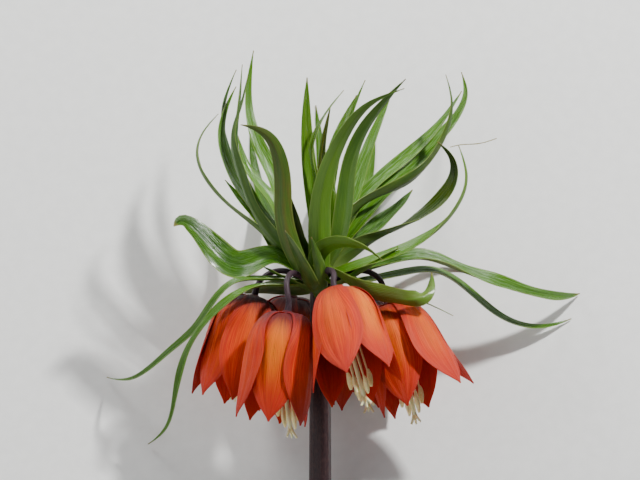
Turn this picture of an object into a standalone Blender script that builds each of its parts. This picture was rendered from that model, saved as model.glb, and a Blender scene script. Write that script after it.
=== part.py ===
"""Crown imperial fritillary: a cut flowering stem that lies on a flat surface.

The stem's top, where the flower stalks and the tuft of leaves leave it, is the plant's own zero.
Points of the plant are given in millimetres as (right, front, up): right and up as an upright plant
stands, and front towards whoever looks at it. The plant then lies back on two of its bells, its rear
leaves and the lower rim of its cut end, so front points upwards and up points along the surface.
"""

import math

import bmesh
import bpy
import numpy as np

MM = 0.001

# How the plant lies
LEAN = math.radians(16.0)
HEAD_HEIGHT = 52.0
AXIS_RIGHT = -11.15
AXIS_ALONG = 25.63

# Stem and flower stalks
STEM_RADIUS_TOP = 4.6
STEM_RADIUS_CUT = 5.6
STEM_SIDES = 16
STALK_RADIUS = 1.35
STALK_SIDES = 6
STALK_STEPS = 9
SEAT_GAP = 0.3

# Tuft of leaves
TUFT_CORE = ((0.3, 3.4), (3.0, 3.8), (8.0, 5.6), (18.0, 4.0), (26.0, 1.4))
LEAF_THICKNESS = 0.85
LEAF_STEP = 12.5
LEAF_TIP_HALF_WIDTH = 0.8
LEAF_GUTTER = 0.16

# Petals of a bell: distance from the bell's axis and depth below its base, from base to tip
PETAL_PROFILE = ((1.5, 1.2), (7.0, 1.3), (12.0, 4.9), (15.8, 12.5), (17.5, 25.0), (18.6, 38.0), (20.0, 50.0))
PETAL_TIP_RADIUS = 20.0
PETAL_FLARE_LIFT = 0.4
PETAL_HALF_WIDTH = 11.8
PETAL_THICKNESS = 0.8
PETAL_KEEL = 0.5
PETAL_ROWS = 7
PETAL_COLUMNS = 5
INNER_SETBACK = 1.5
NEIGHBOUR_GAP = 0.75
CUSHION = 1.2
PRESSED = 0.2

# Base of a bell, and what hangs inside it
BASE_RADIUS = 2.4
BASE_DEPTH = 4.4
PISTIL_LENGTH = 58.0
FILAMENT_LENGTH = 44.0
FILAMENT_SPREAD = 4.6
ANTHER_LENGTH = 8.5

RIGHT = np.array((1.0, 0.0, 0.0))
UP = np.array((0.0, math.cos(LEAN), math.sin(LEAN)))
FRONT = np.array((0.0, -math.sin(LEAN), math.cos(LEAN)))
PLANT_ZERO = np.array((AXIS_RIGHT, AXIS_ALONG, HEAD_HEIGHT))

# A bell: its base, the ways its axis leans (to the right and to the front, in degrees), the turn of its
# first petal, which of its petals are the outer ones, how far each tip stands from the axis, the
# directions round the stem between which it has room, how far its style's end sways to the right and front,
# how long its style and stamens are, and the route of its stalk
BELLS = {
    "bell_1": {
        "base": (-14.7, 26.0, -11.5), "lean": (-7.0, 3.0), "turn": -12.0, "outer": 1,
        "tips": (17.0, 16.5, 17.0, 17.0, 17.0, 18.0), "room": (-63.0, -7.0),
        "sway": (9.0, 0.0), "reach": 1.0,
        "stalk": ((-2.0, 3.0, -3.0), (-8.0, 11.0, 3.5), (-13.0, 18.0, 5.5), (-15.2, 24.0, 0.0)),
    },
    "bell_2": {
        "base": (7.0, 28.0, -1.8), "lean": (13.0, 23.0), "turn": -18.0, "outer": 0,
        "tips": (22.0, 23.0, 20.0, 19.0, 19.0, 21.0), "room": (-7.0, 46.0),
        "sway": (1.0, 0.0), "reach": 1.0,
        "stalk": ((1.2, 3.0, -3.0), (2.2, 11.0, 3.6), (4.2, 19.0, 7.0), (6.4, 25.5, 4.0)),
    },
    "bell_3": {
        "base": (31.0, 6.0, -8.0), "lean": (16.0, 8.0), "turn": 48.0, "outer": 0,
        "tips": (28.0, 31.0, 21.0, 17.0, 17.0, 20.0), "room": (46.0, 107.0),
        "sway": (-3.0, -1.0), "reach": 1.0,
        "stalk": ((3.0, 1.0, -3.0), (12.0, 3.0, 4.5), (20.0, 5.0, 6.5), (27.5, 6.0, 2.5)),
    },
    "bell_4": {
        "base": (16.9, -22.4, -5.0), "lean": (6.0, -8.0), "turn": 15.0, "outer": 1,
        "tips": (18.0, 19.0, 18.0, 19.0, 18.0, 17.0), "room": (107.0, 176.0),
        "sway": (0.0, 1.0), "reach": 0.95,
        "stalk": ((2.0, -3.0, -3.0), (7.0, -11.0, 2.5), (13.0, -18.0, 4.0), (16.3, -21.8, 1.0)),
    },
    "bell_5": {
        "base": (-12.6, -22.7, -5.0), "lean": (-6.0, -6.0), "turn": -20.0, "outer": 0,
        "tips": (17.0, 18.0, 19.0, 18.0, 19.0, 18.0), "room": (176.0, 238.0),
        "sway": (1.0, 1.0), "reach": 0.95,
        "stalk": ((-2.0, -3.0, -3.0), (-6.0, -10.0, 2.5), (-10.0, -17.5, 4.0), (-12.2, -22.0, 1.0)),
    },
    "bell_6": {
        "base": (-30.0, -4.0, -4.6), "lean": (-14.0, 6.0), "turn": 8.0, "outer": 0,
        "tips": (18.0, 17.0, 18.0, 18.0, 18.0, 17.0), "room": (-122.0, -63.0),
        "sway": (4.0, -1.0), "reach": 0.86,
        "stalk": ((-3.0, -1.0, -3.0), (-10.0, -3.0, 4.0), (-18.0, -4.0, 6.5), (-26.5, -4.5, 3.0)),
    },
}

# A leaf: the direction round the stem that it grows to (0 is front, 90 right), its greatest width, how
# its breadth falls to the tip, its twist at base, middle and tip in degrees, and its route
LEAVES = {
    "left_1": (-95, 7.5, 3.0, (25, 10, 0), (
        (-3, 0, 8), (-14, -1, 11), (-24, -3, 21), (-39, -6, 34), (-51, -9, 46), (-57, -11, 62),
        (-55, -12, 69), (-47, -13, 79))),
    "left_2": (-135, 9.0, 2.4, (0, 0, 0), (
        (-3, -3, 6), (-10, -4, 9), (-30, -10, 34), (-42, -15, 53), (-46, -19, 69), (-43, -22, 84),
        (-39, -24, 92))),
    "left_3": (-120, 6.5, 2.4, (0, 0, 0), (
        (-3, -3, 11), (-28, -14, 34), (-42, -22, 58), (-45, -26, 83), (-39, -30, 100))),
    "left_4": (-150, 9.5, 2.2, (0, 0, 0), (
        (-2, -4, 7), (-11.5, -5, 10), (-30, -9, 32), (-37, -13, 40), (-44, -18, 48.5))),
    "left_5": (-75, 8.5, 2.4, (40, 20, 0), (
        (-4, 1, 8), (-10, 2, 12), (-27, 5, 29), (-38, 8, 55), (-40, 10, 71), (-37, 11, 81), (-33, 12, 96))),
    "left_6": (-105, 7.0, 2.4, (-25, -20, 0), (
        (-3, -1, 10), (-30, -8, 37), (-39, -12, 62), (-38, -14, 82), (-36, -16, 102))),
    "left_7": (-165, 9.5, 1.5, (0, 0, 0), (
        (-2, -4, 12), (-8, -7, 16), (-20, -14, 46), (-29, -20, 66), (-33, -25, 81), (-31, -32, 109))),
    "left_8": (-145, 8.5, 2.6, (0, 0, 0), (
        (-3, -3, 10), (-9, -4, 14), (-21, -8, 37), (-34, -12, 55), (-38, -15, 69))),
    "front_1": (-22, 8.8, 4.0, (40, 5, 25), (
        (-2, 2, 4), (-10, 9, 12), (-17, 15, 34), (-18, 20, 55), (-24, 25, 68), (-30, 28, 71.5),
        (-36, 31, 73))),
    "front_2": (-28, 8.0, 2.4, (0, 0, 0), (
        (-3, 3, 6), (-8, 5, 16), (-11, 9, 25), (-14, 14, 42))),
    "middle_1": (175, 7.6, 3.0, (0, 0, 0), (
        (0, -3, 12), (-1, -5, 25), (-3, -9, 40), (-6, -14, 69), (-6, -18, 96))),
    "middle_2": (120, 4.5, 3.0, (0, 0, 0), (
        (1, -2, 14), (-1, -5, 44), (-3, -8, 66), (2, -11, 78), (11, -15, 90))),
    "middle_3": (150, 4.8, 3.0, (0, 0, 0), (
        (1, -3, 13), (1, -7, 44), (1, -10, 58), (5, -14, 83))),
    "middle_4": (165, 7.0, 2.6, (0, 0, 0), (
        (2, -3, 13), (5, -6, 32), (4, -11, 48), (6, -16, 62), (17, -24, 88))),
    "middle_5": (150, 5.0, 2.6, (0, 0, 0), (
        (2, -4, 12), (6, -13, 50), (14, -21, 78), (21, -25, 95))),
    "front_3": (10, 12.0, 1.4, (0, 0, 0), (
        (0, 2.5, 5), (0, 9, 13), (0, 14, 22), (0.5, 20, 38), (8, 29, 63), (20, 38, 80), (38, 48, 89))),
    "front_4": (35, 10.5, 2.4, (0, 0, 0), (
        (3, 3, 8), (8, 6, 18), (14, 11, 55), (25, 18, 78), (39, 26, 94))),
    "right_1": (150, 8.4, 2.6, (0, 0, 0), (
        (3, -3, 12), (11.5, -8, 32), (21, -15, 59), (29, -21, 79), (33, -24, 88))),
    "right_2": (135, 9.2, 2.6, (0, 0, 0), (
        (4, -3, 11), (8, -5, 20), (20, -10, 40), (39, -17, 57.5), (57, -24, 76), (66, -30, 90))),
    "right_3": (95, 8.0, 2.8, (-30, -35, -20), (
        (4, 0, 12), (9, 0, 22), (17, -1, 35), (39, -3, 47), (57, -5, 67), (61, -6, 84), (58, -7, 97))),
    "right_4": (145, 9.0, 2.6, (0, 0, 0), (
        (4, -3, 11), (11.5, -5, 21), (24, -9, 36), (44, -17, 55), (62, -26, 76), (68, -31, 89),
        (66, -34, 99))),
    "right_5": (120, 10.0, 3.0, (-70, 25, 55), (
        (3, -0.6, 8), (11.5, -2, 14), (32, -5, 24), (51, -6, 35), (62, -5, 52), (61, -3, 58), (54, -1, 66))),
    "right_6": (50, 10.0, 2.2, (35, 50, 15), (
        (2, 2, 3), (16, 10, 8), (45, 17, 19), (57.5, 20, 29), (67, 23, 49), (63, 25, 64))),
    "right_7": (165, 9.0, 3.0, (0, 0, 0), (
        (4, -4, 9), (14, -9, 18), (37, -20, 37), (43, -24, 44))),
    "reach_1": (98, 8.5, 3.4, (15, 55, 70), (
        (2, -0.8, 5.2), (11.5, -3.8, 5), (35, -6, 10.6), (47, -8, 12), (61, -11, 8), (97, -26, -4),
        (114, -41, -6), (122, -52, -4.6))),
    "reach_2": (105, 6.6, 3.0, (5, 55, 55), (
        (2, -0.8, 1.8), (11.5, -4, 1), (40, -12, 5), (52, -16, 6), (70, -24, -4.6), (86.5, -33, -16.5),
        (104, -42, -20), (118, -49, -16.5))),
    "boat": (45, 11.5, 3.0, (0, -55, -60), (
        (1.6, 1.8, 6.5), (7.6, 9.4, 5.8), (17, 18, -1.5), (30, 25, -5.5), (41, 27, -6.5), (48, 24, -4.6),
        (51, 17, 6))),
    "low_right": (75, 4.0, 2.4, (0, 0, 0), (
        (2, 1.2, 6), (12, 8, 5), (22, 13, 0), (31, 14, -3), (44, 14, -6.5), (61, 12, -14))),
    "front_5": (20, 8.5, 2.6, (0, 0, 0), (
        (-0.5, 3, 7), (-1, 11, 14.5), (4.6, 18, 18.5), (13, 25, 19), (20, 31, 17), (28.5, 37, 11.5))),
    "wide_left": (-75, 13.5, 3.2, (-25, -45, -55), (
        (-2, 0.8, 4), (-13, 4, 8), (-21, 5, 12), (-37, 4, 8.5), (-55, 2, 22), (-65, 3, 30), (-70, 6, 27))),
    "droop_1": (-72, 7.0, 2.4, (-20, -45, -45), (
        (-2, 0.8, 4), (-9, 3, 3), (-18, 7, 3), (-29, 11, 2.5), (-38, 11, 1.5), (-48, 9, -7), (-56, 4, -19),
        (-69.5, -6, -31), (-85.5, -20, -43), (-99.6, -41, -43.7))),
    "droop_2": (-70, 6.5, 2.4, (-20, -45, -45), (
        (-2, 0.8, 1.5), (-9, 3, 0), (-18, 8, 0), (-27.6, 13, -0.5), (-35, 15, -3), (-48, 12, -12.7),
        (-59, 5, -27), (-66, -5, -48.5), (-70, -15, -64), (-80, -32, -74.5))),
    "rear_1": (172, 9.0, 2.6, (0, 0, 0), (
        (1, -4, 8), (2, -20, 16), (3, -45, 30), (2, -68, 48), (0, -76, 66), (-2, -80, 84))),
    "rear_2": (-158, 8.5, 2.6, (0, 0, 0), (
        (-2, -4, 7), (-9, -20, 14), (-20, -44, 26), (-28, -65, 42), (-32, -74, 60), (-33, -78, 74))),
    "rear_3": (155, 8.5, 2.6, (0, 0, 0), (
        (2, -4, 7), (8, -20, 14), (16, -44, 27), (22, -66, 44), (25, -74, 60), (26, -78, 72))),
    "rear_4": (-120, 8.0, 2.6, (0, 0, 0), (
        (-2, -1.5, 5), (-15, -12, 10), (-30, -28, 11), (-43, -48, 13), (-54, -61, 20))),
    "rear_5": (135, 8.0, 2.6, (0, 0, 0), (
        (3, -4, 8), (12, -16, 20), (26, -38, 38), (42, -60, 53), (56, -73, 68), (62, -77, 76))),
    "rear_6": (115, 7.5, 2.6, (0, 0, 0), (
        (2, -1.5, 4), (18, -13, 7), (35, -30, 10.5), (50, -46, 11.5), (64, -56, 7), (78, -57, 2))),
}


def clear_scene():
    """Removes every object of the file that the script is run in."""
    for thing in list(bpy.data.objects):
        bpy.data.objects.remove(thing, do_unlink=True)


def make_material(name, colour, roughness):
    """A plain finish for one kind of tissue."""
    material = bpy.data.materials.new(name)
    material.use_nodes = True
    shader = material.node_tree.nodes["Principled BSDF"]
    shader.inputs["Base Color"].default_value = (*colour, 1.0)
    shader.inputs["Roughness"].default_value = roughness
    shader.inputs["Metallic"].default_value = 0.0
    return material


def place(points):
    """Turns (right, front, up) of the plant into the lying part's own millimetres."""
    points = np.asarray(points, float)
    axes = np.array((RIGHT, FRONT, UP))
    return PLANT_ZERO + points @ axes


def unit(vectors):
    """Vectors of length one."""
    return vectors / np.linalg.norm(vectors, axis=-1, keepdims=True)


def at_least(values, floor):
    """Values that rise smoothly off a floor, and stay as they are well above it."""
    return floor + CUSHION * np.logaddexp(0.0, (values - floor) / CUSHION)


def smooth_route(points, count):
    """Natural cubic curve through the points, read at even steps of its own length."""
    points = np.asarray(points, float)
    spans = np.linalg.norm(np.diff(points, axis=0), axis=1)
    knots = np.concatenate(([0.0], np.cumsum(spans)))
    size = len(points)
    system = np.eye(size)
    right_side = np.zeros_like(points)
    inner = np.arange(1, size - 1)
    system[inner, inner - 1] = spans[:-1]
    system[inner, inner] = 2.0 * (spans[:-1] + spans[1:])
    system[inner, inner + 1] = spans[1:]
    slopes = np.diff(points, axis=0) / spans[:, None]
    right_side[inner] = 6.0 * np.diff(slopes, axis=0)
    bends = np.linalg.solve(system, right_side)
    fine = np.linspace(0.0, knots[-1], 400)
    piece = np.clip(np.searchsorted(knots, fine, side="right") - 1, 0, size - 2)
    width = spans[piece][:, None]
    after = (fine - knots[piece])[:, None] / width
    before = 1.0 - after
    curve = before * points[piece] + after * points[piece + 1] + width ** 2 / 6.0 * (
        (before ** 3 - before) * bends[piece] + (after ** 3 - after) * bends[piece + 1])
    length = np.concatenate(([0.0], np.cumsum(np.linalg.norm(np.diff(curve, axis=0), axis=1))))
    even = np.linspace(0.0, length[-1], count)
    return np.stack([np.interp(even, length, curve[:, axis]) for axis in range(3)], axis=1)


def closed_sheet(middle, thickness):
    """A blade as a closed mesh: both faces lie half the thickness off a grid of middle points."""
    facing = unit(np.cross(np.gradient(middle, axis=0), np.gradient(middle, axis=1)))
    half = 0.5 * thickness * facing
    points = np.concatenate([(middle + half).reshape(-1, 3), (middle - half).reshape(-1, 3)])
    points[:, 2] = np.maximum(points[:, 2], 0.0)
    rows, columns = middle.shape[:2]
    index = np.arange(rows * columns).reshape(rows, columns)
    below = rows * columns
    a, b = index[:-1, :-1].ravel(), index[1:, :-1].ravel()
    c, d = index[1:, 1:].ravel(), index[:-1, 1:].ravel()
    rim = np.concatenate([index[:-1, 0], index[-1, :-1], index[:0:-1, -1], index[0, :0:-1]])
    after = np.roll(rim, -1)
    faces = np.concatenate([
        np.stack([a, b, c], axis=1), np.stack([a, c, d], axis=1),
        np.stack([a, c, b], axis=1) + below, np.stack([a, d, c], axis=1) + below,
        np.stack([rim, rim + below, after + below], axis=1), np.stack([rim, after + below, after], axis=1)])
    return points, faces.tolist()


def closed_tube(route, radii, sides, flat=1.0, side=None):
    """A closed tube of a few sides along a route; flat squeezes it across the given side direction."""
    route = np.asarray(route, float)
    ahead = unit(np.gradient(route, axis=0))
    start = RIGHT if side is None else side
    across = unit(start - (ahead @ start)[:, None] * ahead)
    over = np.cross(ahead, across)
    angle = np.arange(sides) * 2.0 * math.pi / sides
    wide = np.cos(angle)[None, :, None] * across[:, None]
    ring = wide + flat * np.sin(angle)[None, :, None] * over[:, None]
    points = (route[:, None] + np.asarray(radii, float)[:, None, None] * ring).reshape(-1, 3)
    points[:, 2] = np.maximum(points[:, 2], 0.0)
    rows = len(route)
    index = np.arange(rows * sides).reshape(rows, sides)
    beside = np.roll(index, -1, axis=1)
    walls = np.stack([index[:-1], beside[:-1], beside[1:], index[1:]], axis=-1).reshape(-1, 4).tolist()
    return points, walls + [index[0, ::-1].tolist(), index[-1].tolist()]


def new_object(name, shape, material):
    """One object of a shape in millimetres."""
    points, faces = shape
    mesh = bpy.data.meshes.new(name)
    mesh.from_pydata((points * MM).tolist(), [], faces)
    mesh.materials.append(material)
    thing = bpy.data.objects.new(name, mesh)
    bpy.context.scene.collection.objects.link(thing)
    return thing


def fill_hollows(mesh):
    """Keeps a fused mesh's outer skin alone, so that a hollow which the union sealed becomes solid."""
    work = bmesh.new()
    work.from_mesh(mesh)
    left = set(work.faces)
    skins = []
    while left:
        skin = {left.pop()}
        edge_of_search = set(skin)
        while edge_of_search:
            beside = {near for face in edge_of_search for edge in face.edges for near in edge.link_faces}
            edge_of_search = beside - skin
            skin |= edge_of_search
        left -= skin
        skins.append(skin)
    skins.sort(key=len)
    inner = [face for skin in skins[:-1] for face in skin]
    bmesh.ops.delete(work, geom=inner, context="FACES")
    work.to_mesh(mesh)
    work.free()


def fuse(name, shapes, material):
    """Joins shapes that overlap into one body: a union of the first with a collection of the rest."""
    others = bpy.data.collections.new(name + "_rest")
    bpy.context.scene.collection.children.link(others)
    body = new_object(name, shapes[0], material)
    for number, shape in enumerate(shapes[1:]):
        thing = new_object(f"{name}_rest_{number}", shape, material)
        bpy.context.scene.collection.objects.unlink(thing)
        others.objects.link(thing)
    union = body.modifiers.new("union", "BOOLEAN")
    union.operation = "UNION"
    union.operand_type = "COLLECTION"
    union.collection = others
    union.solver = "MANIFOLD"
    ready = body.evaluated_get(bpy.context.evaluated_depsgraph_get())
    joined = bpy.data.meshes.new_from_object(ready)
    body.modifiers.clear()
    fill_hollows(joined)
    body.data = joined
    for thing in list(others.objects):
        bpy.data.objects.remove(thing, do_unlink=True)
    bpy.data.collections.remove(others)
    return body


def blade_axes(route, direction, twist):
    """Side and upper-face directions along a leaf: its side lies round the stem, turned by its twist."""
    ahead = unit(np.gradient(route, axis=0))
    around = math.cos(math.radians(direction)) * RIGHT - math.sin(math.radians(direction)) * FRONT
    side = unit(around - (ahead @ around)[:, None] * ahead)
    upper = np.cross(ahead, side)
    turn = np.radians(np.interp(np.linspace(0.0, 1.0, len(route)), (0.0, 0.5, 1.0), twist))[:, None]
    return side * np.cos(turn) + upper * np.sin(turn), upper * np.cos(turn) - side * np.sin(turn)


def leaf_breadth(share, fall):
    """Breadth along a strap-shaped leaf: a narrower foot, full at a third, then falling to the tip."""
    foot = 0.7 + 0.3 * np.sin(math.pi * np.minimum(share * 1.5, 0.5))
    return foot * (1.0 - share ** fall) ** 0.85


def leaf_shape(direction, width, fall, twist, route):
    """A leaf with three points across, its edges raised above its middle as a shallow gutter."""
    length = np.linalg.norm(np.diff(np.asarray(route, float), axis=0), axis=1).sum()
    middle = smooth_route(place(route), max(6, round(length / LEAF_STEP)))
    side, upper = blade_axes(middle, direction, twist)
    share = np.linspace(0.0, 1.0, len(middle))
    half = np.maximum(0.5 * width * leaf_breadth(share, fall), LEAF_TIP_HALF_WIDTH)
    across = np.linspace(-1.0, 1.0, 3)[None, :, None] * half[:, None, None]
    raised = LEAF_GUTTER * np.abs(across)
    grid = middle[:, None] + across * side[:, None] + raised * upper[:, None]
    grid[..., 2] = at_least(grid[..., 2], 0.5 * LEAF_THICKNESS - PRESSED)
    return closed_sheet(grid, LEAF_THICKNESS)


def bell_axes(bell):
    """A bell's base, the way its axis points, and the two directions across it: front and right."""
    right, front = np.radians(bell["lean"])
    axis = unit(math.sin(right) * RIGHT + math.sin(front) * FRONT - math.cos(right) * math.cos(front) * UP)
    ahead = unit(FRONT - (FRONT @ axis) * axis)
    return place(bell["base"]), axis, ahead, np.cross(ahead, axis)


def hang_line(bell, depth):
    """Points down the middle of a bell, which sways with depth as its heavy stamens do."""
    base, axis, _, _ = bell_axes(bell)
    depth = BASE_DEPTH + (np.asarray(depth, float)[:, None] - BASE_DEPTH) * bell["reach"]
    sway = bell["sway"][0] * RIGHT + bell["sway"][1] * FRONT
    return base + depth * axis + (depth / PISTIL_LENGTH) ** 2 * sway


def petal_breadth(share):
    """Breadth along a petal: a narrow claw, widest beyond the middle, then drawn in to a point."""
    claw = 0.24 + 0.76 * np.sin(0.5 * math.pi * np.minimum(share / 0.6, 1.0)) ** 0.8
    point = np.cos(0.5 * math.pi * np.maximum(share - 0.6, 0.0) / 0.4) ** 0.75
    return np.maximum(claw * point, 0.06)


def keep_room(grid, room, setback):
    """Holds a petal inside its bell's share of the ring, off the stem and above the surface."""
    low, high = np.radians(room)
    grid = grid.copy()
    for edge, sign in ((low, -1.0), (high, 1.0)):
        outward = sign * (math.cos(edge) * RIGHT - math.sin(edge) * FRONT)
        past = (grid - PLANT_ZERO) @ outward
        grid -= (past + at_least(-past, NEIGHBOUR_GAP + setback))[..., None] * outward
    beside = (grid - PLANT_ZERO) @ UP
    from_stem = grid - PLANT_ZERO - beside[..., None] * UP
    distance = np.linalg.norm(from_stem, axis=-1)
    clear = at_least(distance, STEM_RADIUS_CUT + 1.6 + setback)
    grid += ((clear / distance) - 1.0)[..., None] * from_stem
    grid[..., 2] = at_least(grid[..., 2], 0.5 * PETAL_THICKNESS - PRESSED + setback)
    return grid


def petal_shape(bell, number):
    """A petal: the bell's profile carried to both sides of its middle line, bowed back like a tile."""
    base, axis, ahead, beside = bell_axes(bell)
    turn = math.radians(bell["turn"] + 60.0 * number)
    outward = math.cos(turn) * ahead + math.sin(turn) * beside
    around = math.cos(turn) * beside - math.sin(turn) * ahead
    share = np.linspace(0.0, 1.0, PETAL_ROWS)
    profile = np.array([(radius, 0.0, depth) for radius, depth in PETAL_PROFILE])
    line = smooth_route(profile, PETAL_ROWS)
    slope = unit(np.gradient(line, axis=0))
    setback = 0.0 if number % 2 == bell["outer"] % 2 else INNER_SETBACK
    flare = (bell["tips"][number] - PETAL_TIP_RADIUS) * share ** 2
    radius = line[:, 0] - setback * slope[:, 2] + flare
    depth = line[:, 2] + setback * slope[:, 0] - PETAL_FLARE_LIFT * flare
    across = np.linspace(-1.0, 1.0, PETAL_COLUMNS)[None, :]
    width = PETAL_HALF_WIDTH * petal_breadth(share)[:, None] * across
    bow = width ** 2 / (2.4 * np.maximum(radius, 4.0)[:, None])
    keel = PETAL_KEEL * np.exp(-(across / 0.3) ** 2) * np.sin(math.pi * share)[:, None]
    reach = radius[:, None] - bow + keel
    grid = (base + depth[:, None, None] * axis + reach[..., None] * outward + width[..., None] * around)
    return closed_sheet(keep_room(grid, bell["room"], setback), PETAL_THICKNESS)


def bell_shapes(bell):
    """The base that the stalk meets, and six petals sunk into it."""
    base, axis, ahead, beside = bell_axes(bell)
    route = base + np.array((0.0, 1.2, BASE_DEPTH))[:, None] * axis
    button = closed_tube(route, (BASE_RADIUS, BASE_RADIUS + 1.6, BASE_RADIUS + 1.0), 10, side=ahead)
    return [button] + [petal_shape(bell, number) for number in range(6)]


def stamen_shapes(bell):
    """Six filaments with their anthers and a style with three lobes, on one small disc."""
    base, axis, ahead, beside = bell_axes(bell)
    start = BASE_DEPTH + SEAT_GAP
    disc = base + np.array((start, start + 1.0))[:, None] * axis
    shapes = [closed_tube(disc, (2.4, 2.0), 6, side=ahead)]
    style = hang_line(bell, (start + 0.5, 30.0, PISTIL_LENGTH - 4.0))
    shapes.append(closed_tube(style, (1.0, 0.9, 1.1), 5, side=ahead))
    for number in range(6):
        turn = math.radians(60.0 * number + 30.0)
        outward = math.cos(turn) * ahead + math.sin(turn) * beside
        long = FILAMENT_LENGTH + 2.5 * math.cos(2.3 * number)
        spread = np.array((1.5, 3.6, FILAMENT_SPREAD))
        filament = hang_line(bell, (start + 0.5, 0.5 * long, long)) + spread[:, None] * outward
        shapes.append(closed_tube(filament, (0.65, 0.6, 0.55), 3, side=outward))
        depth = long - 1.0 + ANTHER_LENGTH * np.array((0.0, 0.2, 0.8, 1.0))
        anther = hang_line(bell, depth) + FILAMENT_SPREAD * outward
        shapes.append(closed_tube(anther, (0.6, 1.2, 1.1, 0.5), 4, side=outward))
    for number in range(3):
        turn = math.radians(120.0 * number + 60.0)
        outward = math.cos(turn) * ahead + math.sin(turn) * beside
        depth = PISTIL_LENGTH + np.array((-5.5, -3.0, 0.0))
        lobe = hang_line(bell, depth) + np.array((0.2, 0.9, 2.6))[:, None] * outward
        shapes.append(closed_tube(lobe, (0.75, 0.7, 0.5), 3, side=outward))
    return shapes


def stem_shapes():
    """The stem down to its cut end, whose rim lies on the surface, and one bent stalk for each bell."""
    length = (HEAD_HEIGHT - STEM_RADIUS_CUT * math.cos(LEAN) + 0.25) / math.sin(LEAN)
    height = np.array((0.0, -2.0, -6.0, -0.5 * length, -length))
    route = place(np.stack([0.0 * height, 0.0 * height, height], axis=1))
    radii = (3.6, 4.4, STEM_RADIUS_TOP, 0.5 * (STEM_RADIUS_TOP + STEM_RADIUS_CUT), STEM_RADIUS_CUT)
    shapes = [closed_tube(route, radii, STEM_SIDES)]
    for bell in BELLS.values():
        base, axis, _, _ = bell_axes(bell)
        bends = place(bell["stalk"])
        ends = base - np.array((4.0, SEAT_GAP))[:, None] * axis
        route = smooth_route(np.concatenate([bends, ends]), STALK_STEPS)
        route[-2] = ends[0]
        shapes.append(closed_tube(route, np.full(len(route), STALK_RADIUS), STALK_SIDES, side=UP))
    return shapes


def tuft_shapes():
    """The short green core of the tuft, and its leaves."""
    height, radii = np.array(TUFT_CORE).T
    route = place(np.stack([0.0 * height, 0.0 * height, height], axis=1))
    core = closed_tube(route, radii, 12)
    return [core] + [leaf_shape(*leaf) for leaf in LEAVES.values()]


def main():
    """Builds the stem, the tuft of leaves, and each bell with what hangs inside it."""
    clear_scene()
    fuse("stem", stem_shapes(), make_material("stem", (0.075, 0.035, 0.04), 0.55))
    fuse("leaf_crown", tuft_shapes(), make_material("leaf_crown", (0.12, 0.30, 0.05), 0.4))
    for name, bell in BELLS.items():
        fuse(name, bell_shapes(bell), make_material(name, (0.80, 0.13, 0.05), 0.5))
        inside = name.replace("bell", "stamens")
        fuse(inside, stamen_shapes(bell), make_material(inside, (0.83, 0.72, 0.42), 0.6))


main()
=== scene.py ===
"""Looks of a cut crown imperial fritillary that lies on a pale surface, seen from above.

Points of the plant are given in millimetres as (right, front, up): right and up as an upright plant
stands, and front towards the camera. The plant's zero is the top of its stem.
"""

import math

import bpy
import numpy as np
from bpy.props import FloatProperty, FloatVectorProperty, IntProperty, PointerProperty
from mathutils import Matrix, Vector


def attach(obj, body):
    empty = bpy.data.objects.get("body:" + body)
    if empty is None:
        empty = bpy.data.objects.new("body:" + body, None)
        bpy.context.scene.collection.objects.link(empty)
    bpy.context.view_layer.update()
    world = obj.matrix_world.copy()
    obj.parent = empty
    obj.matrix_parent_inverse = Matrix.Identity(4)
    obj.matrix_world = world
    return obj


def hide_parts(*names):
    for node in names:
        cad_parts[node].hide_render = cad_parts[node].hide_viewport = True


bl_info = {
    "name": "Crown imperial fritillary",
    "version": (1, 0, 0),
    "blender": (4, 5, 0),
    "location": "View3D > Sidebar > Flower",
    "description": "Builds a cut crown imperial fritillary with its leaves, bells and stamens",
    "category": "Add Mesh",
}

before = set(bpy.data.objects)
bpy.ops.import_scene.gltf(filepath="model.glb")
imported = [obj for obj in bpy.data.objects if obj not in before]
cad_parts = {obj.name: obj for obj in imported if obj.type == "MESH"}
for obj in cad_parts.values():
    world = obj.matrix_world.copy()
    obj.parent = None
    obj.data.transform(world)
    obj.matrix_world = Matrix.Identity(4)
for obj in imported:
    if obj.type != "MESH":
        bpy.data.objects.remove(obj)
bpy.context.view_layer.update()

MM = 0.001

# How the plant lies, as in the solids
LEAN = math.radians(16.0)
HEAD_HEIGHT = 52.0
AXIS_RIGHT = -11.15
AXIS_ALONG = 25.63

# How softly a surface is held off its limits, the gap that it keeps above the floor, the angle past which
# an edge is sharp, and how finely a route is followed
CUSHION = 1.2
FLOOR_GAP = 0.3
SHARP_ANGLE = math.radians(50.0)
ROUTE_STEPS = 600

# Stem and flower stalks: the stem's neck as depths and radii, and how far its cut rim is pressed flat
STEM_RADIUS_TOP = 4.6
STEM_RADIUS_CUT = 5.6
STEM_NECK = ((0.0, 3.6), (2.0, 4.4), (6.0, STEM_RADIUS_TOP))
STEM_CLEARANCE = 1.6
STEM_RINGS = 120
STEM_SIDES = 64
CUT_PRESSED = 0.25
STALK_RADIUS = 1.3
STALK_RINGS = 48
STALK_SIDES = 20

# Tuft of leaves: its core as heights and radii, and the section that all leaves share
TUFT_CORE = ((0.3, 3.4), (3.0, 3.8), (8.0, 5.6), (18.0, 4.0), (26.0, 1.4))
CORE_RINGS = 24
LEAF_THICKNESS = 0.62
LEAF_TIP_HALF = 0.25
LEAF_LEAST_ROWS = 24
LEAF_GUTTER = 0.34
MIDRIB_DEPTH = 0.12
MIDRIB_WIDTH = 0.09

# Leaves whose gutter isn't LEAF_GUTTER deep, as a share of their half breadth
OTHER_GUTTERS = {
    "reach_1": 0.62, "reach_2": 0.5, "droop_1": 0.6, "droop_2": 0.6, "boat": 0.55, "wide_left": 0.42,
    "right_1": 0.4, "right_2": 0.5, "right_4": 0.5, "right_6": 0.4, "left_2": 0.35, "left_7": 0.4,
}

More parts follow.
